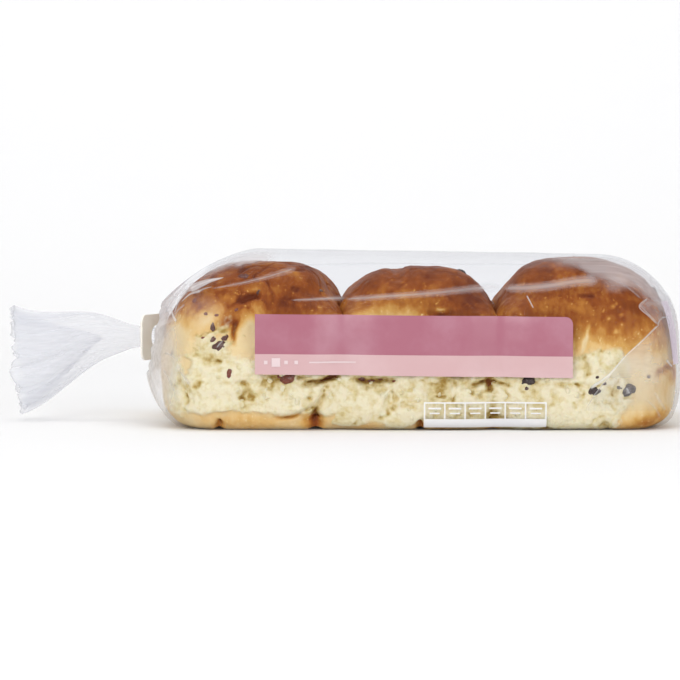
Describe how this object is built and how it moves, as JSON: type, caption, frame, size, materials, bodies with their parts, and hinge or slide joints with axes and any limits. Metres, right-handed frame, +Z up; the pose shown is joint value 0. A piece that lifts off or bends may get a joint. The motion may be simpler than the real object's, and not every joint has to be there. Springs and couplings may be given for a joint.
{
  "type": "bag of currant buns",
  "caption": "Long clear film bag packed tightly with soft currant buns, one end folded shut, the other gathered through a flat clip into a fanned tail.",
  "frame": {"origin": "centre of the whole pack's footprint box, on the surface it rests on", "axes": "+X towards the folded end, -X towards the gathered tail, -Y towards the printed front, +Z up"},
  "size_m": [0.303, 0.146, 0.0773],
  "materials": {
    "film": "clear thin film, glossy, milky where it is folded",
    "clip_plastic": "satin, beige",
    "crust": "baked crust, brown on top and golden down the sides",
    "crumb": "torn soft crumb, pale yellow, matt",
    "raisin": "wrinkled dried fruit, dark, slightly glossy",
    "print": "printed rose and pale pink fields on the film",
    "white_print": "printed white frames and bars on the film"
  },
  "bodies": {
    "root": {"bag": "film", "clip": "clip_plastic"}
  },
  "joints": []
}
